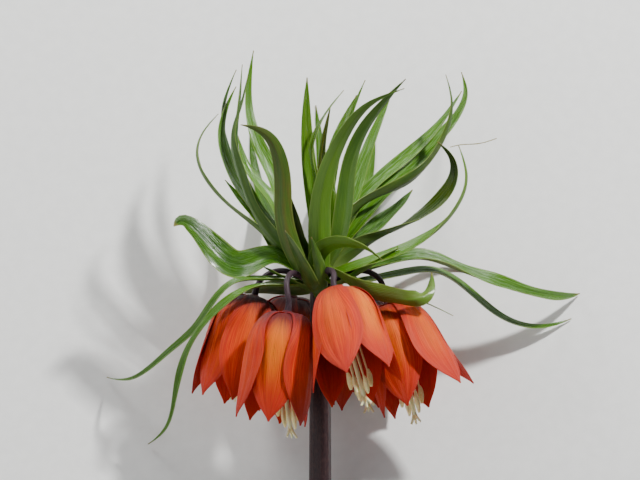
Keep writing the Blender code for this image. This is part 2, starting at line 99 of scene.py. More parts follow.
# Leaves whose margins wave higher than chance gives, and how high
HIGH_WAVES = {
    "wide_left": 1.7, "right_5": 1.1, "right_4": 0.9, "left_7": 0.9, "right_2": 0.8, "reach_1": 0.8,
}

# Leaves whose upper face gets a painted highlight, streaks of silvery glare painted into its colour, and how
# strong it is
PAINTED_GLARE_STRENGTH = {
    "right_1": 1.0, "right_2": 1.0, "right_4": 0.9, "right_7": 0.5, "left_7": 0.9, "left_2": 0.8,
    "left_6": 0.4, "left_4": 0.4, "left_8": 0.4, "reach_1": 0.9, "reach_2": 0.5, "wide_left": 0.15,
    "droop_1": 0.3, "droop_2": 0.4, "front_3": 0.35, "middle_5": 0.5,
}

# Petals of a bell: distance from the bell's axis and depth below its base, from base to tip
PETAL_PROFILE = ((1.5, 1.2), (7.0, 1.3), (12.0, 4.9), (15.8, 12.5), (17.5, 25.0), (18.6, 38.0), (20.0, 50.0))
PETAL_TIP_RADIUS = 20.0
PETAL_FLARE_LIFT = 0.4
PETAL_HALF_WIDTH = 11.8
PETAL_THICKNESS = 0.6
PETAL_CLAW = 0.2
PETAL_KEEL = 0.5
PETAL_FOLDS = 0.24
PETAL_WAVE = 0.7
PETAL_SHIFT = 0.6
INNER_SETBACK = 1.5
NEIGHBOUR_GAP = 0.35

# Where along a petal it is widest and how much lies beyond, and where its nib starts and how long that is
WIDEST, BEYOND = 0.58, 0.42
NIB_START, NIB_LENGTH = 0.86, 0.14

# The button at a bell's base, as depths and radii, and the gap and the disc of stamens below it
BASE_RADIUS = 2.4
BASE_DEPTH = 4.4
SEAT_GAP = 0.3
BUTTON_PROFILE = (
    (0.0, BASE_RADIUS - 0.5), (0.4, BASE_RADIUS), (1.2, BASE_RADIUS + 1.4),
    (BASE_DEPTH - 0.5, BASE_RADIUS + 1.0), (BASE_DEPTH, BASE_RADIUS))
BUTTON_RINGS = 12
DISC_PROFILE = ((0.0, 2.3), (0.6, 2.4), (1.0, 1.8))

# What hangs inside a bell
PISTIL_LENGTH = 58.0
STYLE_PROFILE = ((BASE_DEPTH + SEAT_GAP, 1.25), (20.0, 0.9), (50.0, 1.05))
LOBE_PLACES = ((-5.5, 0.2), (-3.0, 0.9), (-1.0, 2.0), (0.0, 2.6))
LOBE_RADII = (0.75, 0.5)
STYLE_RINGS = 24
LOBE_RINGS = 12
FILAMENT_LENGTH = 44.0
FILAMENT_SPREAD = 4.6
FILAMENT_PLACES = ((1.5, 0.0), (3.0, 0.3), (4.2, -0.3), (FILAMENT_SPREAD, 0.0))
FILAMENT_RADII = (0.62, 0.42)
ANTHER_LENGTH = 8.5
ANTHER_RADIUS = 1.15
FILAMENT_RINGS = 20
ANTHER_RINGS = 18

# Colours of the finishes that FlowerLook doesn't hold, as linear red, green and blue. Where there are two,
# a finish goes from the first to the second.
LEAF_UNDER = ((0.026, 0.09, 0.003), (0.12, 0.26, 0.012))
LEAF_OLIVE = ((0.05, 0.045, 0.004), (0.16, 0.10, 0.012))
LEAF_VEIN = (0.17, 0.31, 0.015)
LEAF_RIM = (0.30, 0.38, 0.07)
LEAF_FOOT = (0.16, 0.24, 0.03)
LEAF_DRY_TIP = (0.26, 0.20, 0.05)
# A painted highlight: pale silver-green that stands in for the glare of light on the glossy leaves
LEAF_GLARE_PAINT = (0.40, 0.60, 0.30)
PETAL_VEIN = (0.26, 0.008, 0.002)
PETAL_TIP = (0.40, 0.022, 0.012)
# Near-black at a petal's shoulder: partly the petals' own purple, partly painted shade where the bells' tops
# lie in shadow
PETAL_SHOULDER = (0.04, 0.010, 0.016)
PETAL_SHOULDER_VEIN = (0.11, 0.014, 0.018)
PETAL_EDGE = (0.34, 0.03, 0.022)
INSIDE = ((0.34, 0.006, 0.002), (0.60, 0.03, 0.007))
INSIDE_VEIN = (0.17, 0.003, 0.0015)
NECTAR_RIM = (0.012, 0.002, 0.003)
NECTAR = (0.78, 0.76, 0.62)
STEM_DARK = (0.022, 0.010, 0.012)
STALK = ((0.015, 0.006, 0.011), (0.05, 0.022, 0.032))
CUT = ((0.34, 0.42, 0.17), (0.62, 0.66, 0.38))
FILAMENT = ((0.70, 0.24, 0.08), (0.88, 0.66, 0.34))
ANTHER_DULL = (0.92, 0.74, 0.32)
STYLE = ((0.80, 0.60, 0.28), (0.95, 0.88, 0.52))

# How far the sine of the veins runs from the middle of a leaf or petal to its margin, in radians, and how
# rough the noise of their streaks is
LEAF_VEINS = 26.0
PETAL_VEINS = 44.0
STREAK_ROUGHNESS = 0.55

# Chance: where the draws start, how high a leaf's margins wave and how many times, and where a petal's
# folds start, how it leans and how many times its margin waves
LEAF_CHANCE = 11
WAVE_HEIGHTS = (0.3, 0.7)
WAVE_TURNS = (1.5, 3.5)
PETAL_CHANCE = 5
FOLD_STARTS = (0.0, 6.3)
PETAL_LEANS = (-2.0, 2.0)
MARGIN_BEATS = (0.8, 2.2)

# Stage: each lamp's place and size, the sky's colour and strength, and half the floor's side, in metres
LAMPS = {
    "key": ((0.68, 0.74, 0.92), 0.10),
    "sky": ((-0.62, 0.95, 0.5), 0.45),
    "fill": ((-0.7, -0.6, 0.9), 1.2),
}
SKY_COLOUR = (0.82, 0.88, 1.0, 1.0)
SKY_STRENGTH = 0.13
FLOOR_HALF = 2.5

# Camera: the photo's frame, the height above the plant's zero that its middle shows, and its own sizes
PICTURE_WIDTH = 640
MM_PER_PIXEL = 0.46
VIEW_HEIGHT = 20.7
CAMERA_DISTANCE = 2400.0
CAMERA_REACH = 20000.0
SENSOR_WIDTH = 36.0

# The plant's own directions, and its zero, in the lying part's millimetres
RIGHT = np.array((1.0, 0.0, 0.0))
UP = np.array((0.0, math.cos(LEAN), math.sin(LEAN)))
FRONT = np.array((0.0, -math.sin(LEAN), math.cos(LEAN)))
PLANT_ZERO = np.array((AXIS_RIGHT, AXIS_ALONG, HEAD_HEIGHT))

# A bell: its base, the ways its axis leans (to the right and to the front, in degrees), the turn of its
# first petal, whether its outer petals are the even ones (0) or the odd ones (1), counted from nought, how
# far each tip stands from the axis, the directions round the stem between which it has room, how far its
# style's end sways to the right and front, how long its style and stamens are beside the usual, the route
# of its stalk, how dark its shoulder is, partly its own purple and partly painted shade, and how yellow
# the middle of each petal is
BELLS = {
    "bell_1": {
        "base": (-14.7, 26, -11.5), "lean": (-7, 3), "turn": -12, "outer": 1,
        "tips": (17, 16.5, 17, 17, 17, 18), "room": (-63, -6.5), "sway": (9, 0), "reach": 1,
        "stalk": ((-2, 3, -3), (-8, 11, 3.5), (-13, 18, 5.5), (-15.2, 24, 0)),
        "dusky": 0.9, "yellow": (1, 0.35, 0.2, 0.2, 0.2, 0.1),
    },
    "bell_2": {
        "base": (7, 28, -1.8), "lean": (13, 23), "turn": -13, "outer": 0,
        "tips": (22, 23, 20, 19, 19, 24), "room": (-6.5, 46), "sway": (1, 0), "reach": 1,
        "stalk": ((1.2, 3, -3), (2.2, 11, 3.6), (4.2, 19, 7), (6.4, 25.5, 4)),
        "dusky": 0.4, "yellow": (0.35, 1, 0.3, 0.2, 0.2, 0.5),
    },
    "bell_3": {
        "base": (31, 6, -8), "lean": (16, 8), "turn": 48, "outer": 0,
        "tips": (28, 31, 21, 17, 17, 20), "room": (46, 107), "sway": (-3, -1), "reach": 1,
        "stalk": ((3, 1, -3), (12, 3, 4.5), (20, 5, 6.5), (27.5, 6, 2.5)),
        "dusky": 0.5, "yellow": (0.5, 0.2, 0.2, 0.2, 0.2, 0.8),
    },
    "bell_4": {
        "base": (16.9, -22.4, -5), "lean": (6, -8), "turn": 15, "outer": 1,
        "tips": (18, 19, 18, 19, 18, 17), "room": (107, 176), "sway": (0, 1), "reach": 0.95,
        "stalk": ((2, -3, -3), (7, -11, 2.5), (13, -18, 4), (16.3, -21.8, 1)),
        "dusky": 1, "yellow": (0.4, 0.3, 0.5, 0.2, 0.6, 0.3),
    },
    "bell_5": {
        "base": (-12.6, -22.7, -5), "lean": (-6, -6), "turn": -20, "outer": 0,
        "tips": (17, 18, 19, 18, 19, 18), "room": (176, 238), "sway": (1, 1), "reach": 0.95,
        "stalk": ((-2, -3, -3), (-6, -10, 2.5), (-10, -17.5, 4), (-12.2, -22, 1)),
        "dusky": 1, "yellow": (0.3, 0.5, 0.2, 0.6, 0.3, 0.4),
    },
    "bell_6": {
        "base": (-30, -4, -4.6), "lean": (-14, 6), "turn": 8, "outer": 0,
        "tips": (18, 17, 18, 18, 18, 17), "room": (-122, -63), "sway": (4, -1), "reach": 0.86,
        "stalk": ((-3, -1, -3), (-10, -3, 4), (-18, -4, 6.5), (-26.5, -4.5, 3)),
        "dusky": 1, "yellow": (0.3, 0.3, 0.4, 0.2, 0.3, 0.1),
    },
}

# A leaf: the direction round the stem that it grows to (0 is front, 90 right), its greatest width, the
# power by which its breadth falls to the tip, its twist at base, middle and tip in degrees, its route, and
# how light and how olive it is
FLAT = (0, 0, 0)
LEAVES = {
    "left_1": (-95, 7.5, 3, (25, 10, 0), (
        (-3, 0, 8), (-14, -1, 11), (-24, -3, 21), (-39, -6, 34), (-51, -9, 46), (-57, -11, 62),
        (-55, -12, 69), (-47, -13, 79)), 0.4, 0.2),
    "left_2": (-135, 9, 2.4, FLAT, (
        (-3, -3, 6), (-10, -4, 9), (-30, -10, 34), (-42, -15, 53), (-46, -19, 69), (-43, -22, 84),
        (-39, -24, 92)), 0.7, 0),
    "left_3": (-120, 6.5, 2.4, FLAT, (
        (-3, -3, 11), (-28, -14, 34), (-42, -22, 58), (-45, -26, 83), (-39, -30, 100)), 0.2, 0),
    "left_4": (-150, 9.5, 2.2, FLAT, (
        (-2, -4, 7), (-11.5, -5, 10), (-30, -9, 32), (-37, -13, 40), (-44, -18, 48.5)), 0.8, 0),
    "left_5": (-75, 8.5, 2.4, (40, 20, 0), (
        (-4, 1, 8), (-10, 2, 12), (-27, 5, 29), (-38, 8, 55), (-40, 10, 71), (-37, 11, 81), (-33, 12, 96)),
        0.2, 0.1),
    "left_6": (-105, 7, 2.4, (-25, -20, 0), (
        (-3, -1, 10), (-30, -8, 37), (-39, -12, 62), (-38, -14, 82), (-36, -16, 102)), 0.3, 0),
    "left_7": (-165, 9.5, 1.5, FLAT, (
        (-2, -4, 12), (-8, -7, 16), (-20, -14, 46), (-29, -20, 66), (-33, -25, 81), (-31, -32, 109)),
        0.7, 0),
    "left_8": (-145, 8.5, 2.6, FLAT, (
        (-3, -3, 10), (-9, -4, 14), (-21, -8, 37), (-34, -12, 55), (-38, -15, 69)), 0.8, 0),
    "front_1": (-22, 8.8, 4, (40, 5, 25), (
        (-3, 5, 0), (-10, 10, 11), (-17, 15, 34), (-18, 20, 55), (-24, 25, 68), (-30, 28, 71.5),
        (-36, 31, 73)), 0.3, 0.9),
    "front_2": (-28, 8, 2.4, FLAT, (
        (-3, 3, 6), (-8, 5, 16), (-11, 9, 25), (-14, 14, 42)), 0.1, 0.8),
    "middle_1": (175, 7.6, 3, FLAT, (
        (0, -3, 12), (-1, -5, 25), (-3, -9, 40), (-6, -14, 69), (-6, -18, 96)), 0.6, 0.3),
    "middle_2": (120, 4.5, 3, FLAT, (
        (1, -2, 14), (-1, -5, 44), (-3, -8, 66), (2, -11, 78), (11, -15, 90)), 0.5, 0.3),
    "middle_3": (150, 4.8, 3, FLAT, (
        (1, -3, 13), (1, -7, 44), (1, -10, 58), (5, -14, 83)), 0.2, 1),
    "middle_4": (165, 7, 2.6, FLAT, (
        (2, -3, 13), (5, -6, 32), (4, -11, 48), (6, -16, 62), (17, -24, 88)), 0.6, 0.3),
    "middle_5": (150, 5, 2.6, FLAT, (
        (2, -4, 12), (6, -13, 50), (14, -21, 78), (21, -25, 95)), 0.5, 0.1),
    "front_3": (10, 12, 1.4, FLAT, (
        (0, 5, 0), (0, 9.5, 12), (0, 14, 22), (0.5, 20, 38), (8, 29, 63), (20, 38, 80), (38, 48, 89)),
        0.6, 0),
    "front_4": (35, 10.5, 2.4, FLAT, (
        (3, 3, 8), (8, 6, 18), (14, 11, 55), (25, 18, 78), (39, 26, 94)), 0.2, 0.1),
    "right_1": (150, 8.4, 2.6, (8, 14, 5), (
        (3, -3, 12), (11.5, -8, 32), (21, -15, 59), (29, -21, 79), (33, -24, 88)), 0.7, 0),
    "right_2": (135, 9.2, 2.6, (8, 15, 5), (
        (4, -3, 11), (8, -5, 20), (20, -10, 40), (39, -17, 57.5), (57, -24, 76), (66, -30, 90)), 0.6, 0),
    "right_3": (95, 8, 2.8, (-30, -35, -20), (
        (4, 0, 12), (9, 0, 22), (17, -1, 35), (39, -3, 47), (57, -5, 67), (61, -6, 84), (58, -7, 97)),
        0.2, 0.4),
    "right_4": (145, 9, 2.6, (8, 15, 5), (
        (4, -3, 11), (11.5, -5, 21), (24, -9, 36), (44, -17, 55), (62, -26, 76), (68, -31, 89),
        (66, -34, 99)), 0.7, 0),
    "right_5": (120, 10, 2.2, (-120, 20, 40), (
        (5, -1, 9), (11.5, -2, 14), (32, -5, 24), (51, -6, 35), (62, -5, 52), (61, -3, 58), (54, -1, 66)),
        0.1, 0.4),
    "right_6": (50, 10, 2.2, (35, 44, 15), (
        (2, 2, 3), (16, 10, 8), (45, 17, 19), (57.5, 20, 29), (67, 23, 49), (63, 25, 64)), 0.8, 0.1),
    "right_7": (165, 9, 3, FLAT, (
        (4, -4, 9), (14, -9, 18), (37, -20, 37), (43, -24, 44)), 0.4, 0),
    "reach_1": (98, 10, 4, (15, 28, 60), (
        (2, -0.8, 5.2), (11.5, -3.8, 5), (35, -6, 10.6), (47, -8, 12), (61, -11, 8), (97, -26, -4),
        (114, -41, -6), (122, -52, -4.6)), 0.5, 0),
    "reach_2": (105, 7.4, 3.2, (5, 32, 45), (
        (2, -0.8, 1.8), (11.5, -4, 1), (40, -12, 5), (52, -16, 6), (70, -24, -4.6), (86.5, -33, -16.5),
        (104, -42, -20), (118, -49, -16.5)), 0.5, 0),
    "boat": (45, 12.3, 3, (0, -55, -60), (
        (1.6, 1.8, 6), (7.6, 9.4, 4.8), (17, 18, -2.3), (30, 25, -5.5), (41, 27, -6.5), (48, 24, -4.6),
        (51, 17, 6)), 1.2, 0.5),
    "low_right": (75, 4, 2.4, FLAT, (
        (2, 1.2, 6), (12, 8, 5), (22, 13, 0), (31, 14, -3), (44, 14, -6.5), (61, 12, -14)), 0.4, 0.1),
    "front_5": (20, 8.5, 2.6, (0, -48, -55), (
        (-1, 6, 1), (-1, 11.5, 13.5), (4.6, 18, 18.5), (13, 25, 19), (20, 31, 17), (28.5, 37, 11.5)),
        0.7, 0),
    "bract_1": (20, 5, 2.4, FLAT, (
        (-1.5, 4, 9), (-1, 9, 8.5), (1.5, 13, 5), (5, 17, 0.5)), 0.9, 0),
    "bract_2": (-30, 8.5, 2.2, FLAT, (
        (0, 6.5, -5), (-3.5, 13, -1), (-7, 17, 6), (-11, 20, 15), (-16, 22, 25)), 0.1, 0.5),
    "bract_3": (5, 7, 2.2, FLAT, (
        (0, 6, -6), (0, 12, -3), (0.5, 16, 3), (-1, 19, 12), (-4, 22, 22)), 0.2, 0.3),
    "bract_4": (60, 9, 2.2, FLAT, (
        (4, 3, -3), (9, 7, 0), (16, 10, 4), (25, 13, 10), (36, 15, 17)), 0.4, 0.1),
    "bract_5": (-75, 8, 2.2, FLAT, (
        (-4, 3, -3), (-10, 6, 0), (-18, 8, 4), (-27, 10, 9)), 0.2, 0.1),
    "wide_left": (-75, 14.8, 6, (-25, -58, -64), (
        (-2, 0.8, 4), (-13, 4, 8), (-21, 5, 12), (-37, 4, 8.5), (-55, 2, 22), (-64, 4, 29), (-67, 8, 27)),
        0.3, 0),
    "droop_1": (-72, 5.4, 2.4, (-10, -25, -30), (
        (-3, 3.5, -1), (-9, 5, 1.5), (-18, 8, 2.5), (-29, 11, 2.5), (-38, 11, 1.5), (-48, 9, -7),
        (-56, 4, -19), (-69.5, -6, -31), (-85.5, -20, -43), (-99.6, -41, -43.7)), 0.5, 0),
    "droop_2": (-70, 5, 2.4, (-10, -25, -30), (
        (-3, 3.5, -2.5), (-9, 5, -0.5), (-18, 9, -0.3), (-27.6, 13, -0.5), (-35, 15, -3), (-48, 12, -12.7),
        (-59, 5, -27), (-66, -5, -48.5), (-70, -15, -64), (-80, -32, -74.5)), 0.7, 0),
    "rear_1": (172, 9, 2.6, FLAT, (
        (1, -4, 8), (2, -20, 16), (3, -45, 30), (2, -68, 48), (0, -76, 66), (-2, -80, 84)), 0.5, 0),
    "rear_2": (-158, 8.5, 2.6, FLAT, (
        (-2, -4, 7), (-9, -20, 14), (-20, -44, 26), (-28, -65, 42), (-32, -74, 60), (-33, -78, 74)),
        0.4, 0),
    "rear_3": (155, 8.5, 2.6, FLAT, (
        (2, -4, 7), (8, -20, 14), (16, -44, 27), (22, -66, 44), (25, -74, 60), (26, -78, 72)), 0.6, 0),
    "rear_4": (-120, 8, 2.6, FLAT, (
        (-2, -1.5, 5), (-15, -12, 10), (-30, -28, 11), (-43, -48, 13), (-54, -61, 20)), 0.5, 0.2),
    "rear_5": (135, 8, 2.6, FLAT, (
        (3, -4, 8), (12, -16, 20), (26, -38, 38), (42, -60, 53), (56, -73, 68), (62, -77, 76)), 0.3, 0),
    # A dark brown leaf set low behind the bells as painted shade, filling the gap under the crown that lies
    # in shadow
    "rear_shade_filler": (-125, 9, 2.4, (70, 75, 60), (
        (-4, -4, -1), (-12, -9.5, -1.2), (-23, -17, -1.5), (-35, -24, -4)), 0, 0.8),
    "rear_6": (115, 7.5, 2.6, FLAT, (
        (2, -1.5, 4), (18, -13, 7), (35, -30, 10.5), (50, -46, 11.5), (64, -56, 7), (78, -57, 2)), 0.5, 0.1),
}

# A dry thread at the tip of a leaf
DRY_THREAD = ((59.3, 24.5, 63), (63, 25, 63.9), (72, 24, 64.6), (80.5, 23, 67))
THREAD_RADIUS = 0.22
THREAD_RINGS = 30


def place(points):
    """Turns (right, front, up) of the plant into the lying part's own millimetres."""
    return PLANT_ZERO + np.asarray(points, float) @ np.array((RIGHT, FRONT, UP))


def down_the_middle(heights):
    """Points of the stem's own axis at heights over the plant's zero."""
    return place(heights[:, None] * np.array((0.0, 0.0, 1.0)))


def unit(vectors):
    """Vectors of length one."""
    return vectors / np.linalg.norm(vectors, axis=-1, keepdims=True)


def at_least(values, floor):
    """Values that rise smoothly off a floor: the floor plus a soft step of what lies above it."""
    return floor + CUSHION * np.logaddexp(0.0, (values - floor) / CUSHION)


def smooth_route(points, count):
    """The natural cubic curve through the points: its bends at the points solve a system of three
    diagonals, and are zero at both ends. It is read at even steps of its own length."""
    points = np.asarray(points, float)
    spans = np.linalg.norm(np.diff(points, axis=0), axis=1)
    knots = np.concatenate(([0.0], np.cumsum(spans)))
    size = len(points)
    system = np.eye(size)
    right_side = np.zeros_like(points)
    inner = np.arange(1, size - 1)
    system[inner, inner - 1] = spans[:-1]
    system[inner, inner] = 2.0 * (spans[:-1] + spans[1:])
    system[inner, inner + 1] = spans[1:]
    slopes = np.diff(points, axis=0) / spans[:, None]
    right_side[inner] = 6.0 * np.diff(slopes, axis=0)
    bends = np.linalg.solve(system, right_side)
    fine = np.linspace(0.0, knots[-1], ROUTE_STEPS)
    piece = np.clip(np.searchsorted(knots, fine, side="right") - 1, 0, size - 2)
    width = spans[piece][:, None]
    after = (fine - knots[piece])[:, None] / width
    before = 1.0 - after
    curve = before * points[piece] + after * points[piece + 1] + width ** 2 / 6.0 * (
        (before ** 3 - before) * bends[piece] + (after ** 3 - after) * bends[piece + 1])
    length = np.concatenate(([0.0], np.cumsum(np.linalg.norm(np.diff(curve, axis=0), axis=1))))
    even = np.linspace(0.0, length[-1], count)
    return np.stack([np.interp(even, length, curve[:, axis]) for axis in range(3)], axis=1)


def closed_sheet(middle, thickness):
    """A blade as a closed mesh: both faces lie half the thickness off a grid of middle points, along the
    cross product of the grid's two directions, and a rim of quads joins their edges."""
    facing = unit(np.cross(np.gradient(middle, axis=0), np.gradient(middle, axis=1)))
    half = 0.5 * np.asarray(thickness)[..., None] * facing
    points = np.concatenate([(middle + half).reshape(-1, 3), (middle - half).reshape(-1, 3)])
    points[:, 2] = np.maximum(points[:, 2], 0.0)
    rows, columns = middle.shape[:2]
    index = np.arange(rows * columns).reshape(rows, columns)
    below = rows * columns
    a, b = index[:-1, :-1].ravel(), index[1:, :-1].ravel()
    c, d = index[1:, 1:].ravel(), index[:-1, 1:].ravel()
    rim = np.concatenate([index[:-1, 0], index[-1, :-1], index[:0:-1, -1], index[0, :0:-1]])
    after = np.roll(rim, -1)
    faces = np.concatenate([
        np.stack([a, b, c, d], axis=1), np.stack([a, d, c, b], axis=1) + below,
        np.stack([rim, rim + below, after + below, after], axis=1)])
    return points, faces


def sheet_marks(rows, columns):
    """For each point of a closed sheet: how far along and across it lies, and which face it is on."""
    along = np.repeat(np.linspace(0.0, 1.0, rows), columns)
    across = np.tile(np.linspace(-1.0, 1.0, columns), rows)
    face = np.ones(rows * columns)
    return {"along": np.tile(along, 2), "across": np.tile(across, 2), "face": np.concatenate([face, -face])}


def tube_rings(route, start):
    """Two directions across a route at each of its points, kept square to it."""
    ahead = unit(np.gradient(route, axis=0))
    across = unit(start - (ahead @ start)[:, None] * ahead)
    return across, np.cross(ahead, across)


def ring_mark(rings, sides):
    """For each point of a closed tube: the cosine of its angle, and zero at the middle of each end."""
    return np.append(np.tile(np.cos(np.arange(sides) * 2.0 * math.pi / sides), rings), (0.0, 0.0))


def closed_tube(route, radii, start=RIGHT, relief=None, sides=24):
    """A closed tube: rings of points round a route at the given radii, times one plus a relief of the
    share along and the angle, with a fan of faces over each end. Each point's share along comes with it."""
    route = np.asarray(route, float)
    across, over = tube_rings(route, start)
    angle = np.arange(sides) * 2.0 * math.pi / sides
    share = np.linspace(0.0, 1.0, len(route))
    radius = np.asarray(radii, float)[:, None] * np.ones(sides)
    if relief is not None:
        radius = radius * (1.0 + relief(share[:, None], angle[None, :]))
    ring = np.cos(angle)[None, :, None] * across[:, None] + np.sin(angle)[None, :, None] * over[:, None]
    walls = (route[:, None] + radius[..., None] * ring).reshape(-1, 3)
    points = np.concatenate([walls, route[[0, -1]]])
    points[:, 2] = np.maximum(points[:, 2], 0.0)
    index = np.arange(len(route) * sides).reshape(-1, sides)
    beside = np.roll(index, -1, axis=1)
    quads = np.stack([index[:-1], beside[:-1], beside[1:], index[1:]], axis=-1).reshape(-1, 4)
    first, last = len(walls), len(walls) + 1
    fans = np.concatenate([
        np.stack([beside[0], index[0], np.full(sides, first)], axis=1),
        np.stack([index[-1], beside[-1], np.full(sides, last)], axis=1)])
    return points, quads.tolist() + fans.tolist(), np.concatenate([np.repeat(share, sides), (0.0, 1.0)])


def add_object(name, data):
    """A new object that holds the given data, linked to the scene."""
    thing = bpy.data.objects.new(name, data)
    bpy.context.scene.collection.objects.link(thing)
    return thing


def add_piece(name, points, faces, marks, material, node):
    """Makes one mesh of points in millimetres, with its marks as attributes, and ties it to the frame."""
    mesh = bpy.data.meshes.new(name)
    mesh.from_pydata((points * MM).tolist(), [], [list(face) for face in faces])
    for mark, values in marks.items():
        layer = mesh.attributes.new(mark, "FLOAT", "POINT")
        layer.data.foreach_set("value", np.broadcast_to(values, len(points)).astype(np.float32))
    mesh.shade_smooth()
    mesh.set_sharp_from_angle(angle=SHARP_ANGLE)
    mesh.materials.append(material)
    piece = add_object(name, mesh)
    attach(piece, "root")
    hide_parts(node)


def blade_axes(route, direction, twist):
    """Side and upper-face directions along a leaf: its side lies round the stem, turned by its twist."""
    ahead = unit(np.gradient(route, axis=0))
    around = math.cos(math.radians(direction)) * RIGHT - math.sin(math.radians(direction)) * FRONT
    side = unit(around - (ahead @ around)[:, None] * ahead)
    upper = np.cross(ahead, side)
    turn = np.radians(np.interp(np.linspace(0.0, 1.0, len(route)), (0.0, 0.5, 1.0), twist))[:, None]
    return side * np.cos(turn) + upper * np.sin(turn), upper * np.cos(turn) - side * np.sin(turn)


def leaf_breadth(share, fall):
    """Breadth along a strap-shaped leaf: seven tenths of the full one at the foot, full at a third of the
    way, then one minus the share to the power of the fall, which comes to a point at the tip."""
    foot = 0.7 + 0.3 * np.sin(math.pi * np.minimum(share * 1.5, 0.5))
    return foot * (1.0 - share ** fall) ** 0.85


def leaf_points(direction, width, fall, twist, route, gutter, wave, step, columns):
    """A leaf: its cross-section carried along its route. The section is a hyperbola for the shallow gutter,
    with a fine crease for the midrib, and margins that rise and fall with the cube of the distance across,
    in a slow sine along. It thins towards its margins and its tip."""
    length = np.linalg.norm(np.diff(np.asarray(route, float), axis=0), axis=1).sum()
    rows = max(LEAF_LEAST_ROWS, round(length / step))
    middle = smooth_route(place(route), rows)
    side, upper = blade_axes(middle, direction, twist)
    share = np.linspace(0.0, 1.0, rows)[:, None]
    half = np.maximum(0.5 * width * leaf_breadth(share, fall), LEAF_TIP_HALF)
    across = np.linspace(-1.0, 1.0, columns)[None, :]
    trough = gutter * half * (np.sqrt(across ** 2 + 0.03) - 0.17)
    size, turns, start = wave
    ripple = size * np.abs(across) ** 3 * np.sin(2.0 * math.pi * (turns * share + start * np.sign(across)))
    crease = -MIDRIB_DEPTH * np.exp(-(across / MIDRIB_WIDTH) ** 2)
    rise = trough + (ripple * np.sin(math.pi * share) + crease) * np.minimum(half / 2.0, 1.0)
    grid = middle[:, None] + (half * across)[..., None] * side[:, None] + rise[..., None] * upper[:, None]
    thickness = LEAF_THICKNESS * (1.0 - 0.7 * across ** 4) * (0.45 + 0.55 * np.minimum(half / 2.5, 1.0))
    grid[..., 2] = at_least(grid[..., 2], FLOOR_GAP)
    points, faces = closed_sheet(grid, thickness)
    return points, faces, sheet_marks(rows, columns)


def bell_axes(bell):
    """A bell's base, the way its axis points, and the two directions across it: front and right."""
    right, front = np.radians(bell["lean"])
    axis = unit(math.sin(right) * RIGHT + math.sin(front) * FRONT - math.cos(right) * math.cos(front) * UP)
    ahead = unit(FRONT - (FRONT @ axis) * axis)
    return place(bell["base"]), axis, ahead, np.cross(ahead, axis)


def round_bell(bell, degrees):
    """Two directions at an angle round a bell's axis: outward from it, and on round it."""
    _, _, ahead, beside = bell_axes(bell)
    turn = math.radians(degrees)
    return math.cos(turn) * ahead + math.sin(turn) * beside, math.cos(turn) * beside - math.sin(turn) * ahead


def hang_line(bell, depth):
    """Points down the middle of a bell, which sways with depth as its heavy stamens do."""
    base, axis, _, _ = bell_axes(bell)
    depth = BASE_DEPTH + (np.asarray(depth, float)[:, None] - BASE_DEPTH) * bell["reach"]
    sway = bell["sway"][0] * RIGHT + bell["sway"][1] * FRONT
    return base + depth * axis + (depth / PISTIL_LENGTH) ** 2 * sway


def petal_breadth(share):
    """Breadth along a petal: a sine up from a narrow claw to the widest place, a cosine down to the tip,
    and a nib that draws the last stretch in by a third."""
    claw = PETAL_CLAW + 0.8 * np.sin(0.5 * math.pi * np.minimum(share / WIDEST, 1.0)) ** 1.1
    point = np.maximum(np.cos(0.5 * math.pi * np.maximum(share - WIDEST, 0.0) / BEYOND), 0.0) ** 0.9
    nib = 1.0 - 0.35 * (np.maximum(share - NIB_START, 0.0) / NIB_LENGTH) ** 2
    return np.maximum(claw * point * nib, 0.03)


def keep_room(grid, room, setback):
    """Holds a petal inside its bell's share of the ring, off the stem and above the surface."""
    low, high = np.radians(room)
    grid = grid.copy()
    for edge, sign in ((low, -1.0), (high, 1.0)):
        outward = sign * (math.cos(edge) * RIGHT - math.sin(edge) * FRONT)
        past = (grid - PLANT_ZERO) @ outward
        grid -= (past + at_least(-past, NEIGHBOUR_GAP + setback))[..., None] * outward
    beside = (grid - PLANT_ZERO) @ UP
    from_stem = grid - PLANT_ZERO - beside[..., None] * UP
    distance = np.linalg.norm(from_stem, axis=-1)
    clear = at_least(distance, STEM_RADIUS_CUT + STEM_CLEARANCE + setback)
    grid += ((clear / distance) - 1.0)[..., None] * from_stem
    grid[..., 2] = at_least(grid[..., 2], FLOOR_GAP + setback)
    return grid


